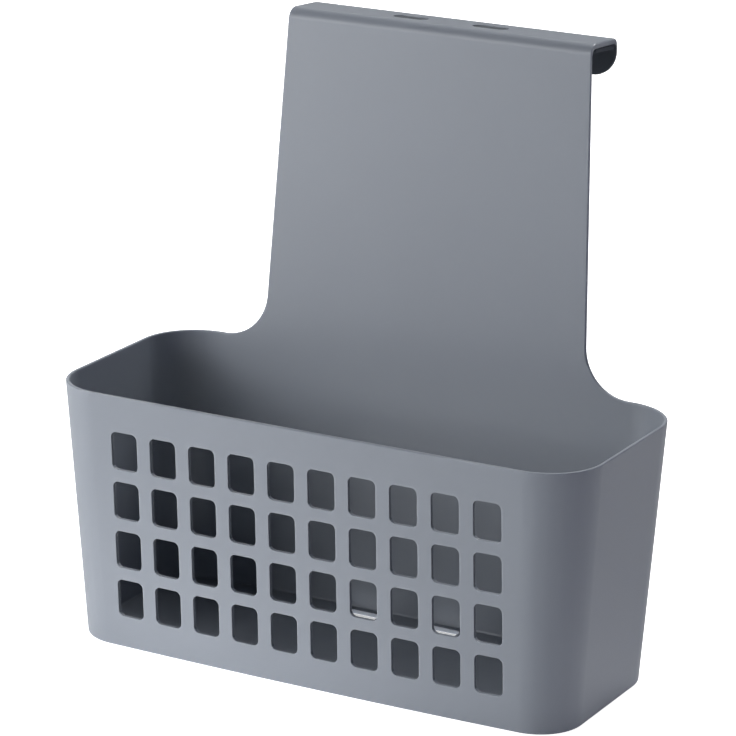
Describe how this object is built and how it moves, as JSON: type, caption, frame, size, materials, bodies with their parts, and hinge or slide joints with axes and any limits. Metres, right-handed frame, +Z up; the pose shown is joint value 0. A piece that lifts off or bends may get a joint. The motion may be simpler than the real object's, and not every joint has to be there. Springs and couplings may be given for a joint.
{
  "type": "over-door kitchen sink caddy",
  "caption": "Tapered plastic basket with a grid-holed front, a tall leaning back plate and a rubber-lined hook that hangs over a cupboard door.",
  "frame": {"origin": "middle of the overall box in X and Y, on the surface that the basket stands on", "axes": "+X to the right seen from the front, -Y to the front with the holed wall, +Z up towards the hook"},
  "size_m": [0.28, 0.1556, 0.2926],
  "materials": {
    "shell_plastic": "satin moulded polypropylene, cool mid grey",
    "liner_rubber": "matt dark grey rubber",
    "bumper_rubber": "matt dark grey rubber"
  },
  "bodies": {
    "root": {"caddy_shell": "shell_plastic", "hook_liner": "liner_rubber", "lower_bumper_left": "bumper_rubber", "lower_bumper_right": "bumper_rubber"}
  },
  "joints": []
}
